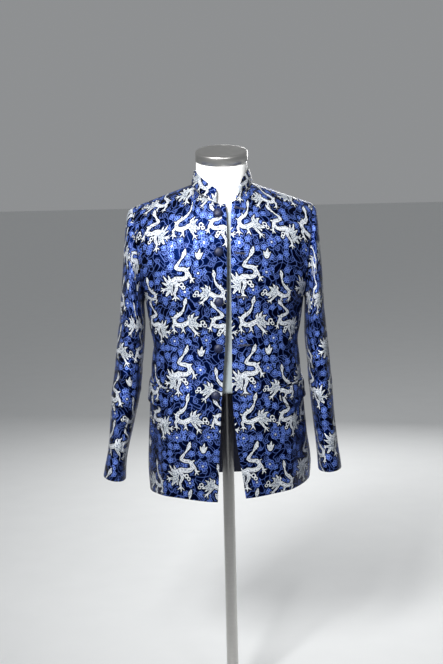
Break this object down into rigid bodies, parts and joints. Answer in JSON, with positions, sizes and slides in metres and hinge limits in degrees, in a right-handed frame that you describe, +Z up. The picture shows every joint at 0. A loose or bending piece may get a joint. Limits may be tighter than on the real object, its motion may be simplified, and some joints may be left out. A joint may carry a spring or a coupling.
{
  "type": "silk jacket on a limbless dress form with a stand",
  "caption": "Brocade jacket with a stand collar, covered buttons, flap pockets and long sleeves, worn open on a limbless dress form that stands on a pole and a round base.",
  "frame": {"origin": "middle of the stand's base, on its underside", "axes": "+Z up, -Y the way the front faces, +X the wearer's left"},
  "size_m": [0.5686, 0.34, 1.3617],
  "materials": {
    "brocade": "silk brocade, a dark navy satin ground with blue flowers and white dragons",
    "button_silk": "the same silk drawn over a domed button",
    "form_shell": "smooth white, half gloss",
    "steel": "fine brushed"
  },
  "bodies": {
    "root": {"front_right": "brocade", "front_left": "brocade", "back": "brocade", "sleeve_upper_right": "brocade", "sleeve_under_right": "brocade", "sleeve_upper_left": "brocade", "sleeve_under_left": "brocade", "collar": "brocade", "flap_right": "brocade", "flap_left": "brocade", "button_1": "button_silk", "button_2": "button_silk", "button_3": "button_silk", "button_4": "button_silk", "button_5": "button_silk", "form": "form_shell", "neck_cap": "steel", "pole": "steel", "base": "steel"}
  },
  "joints": []
}
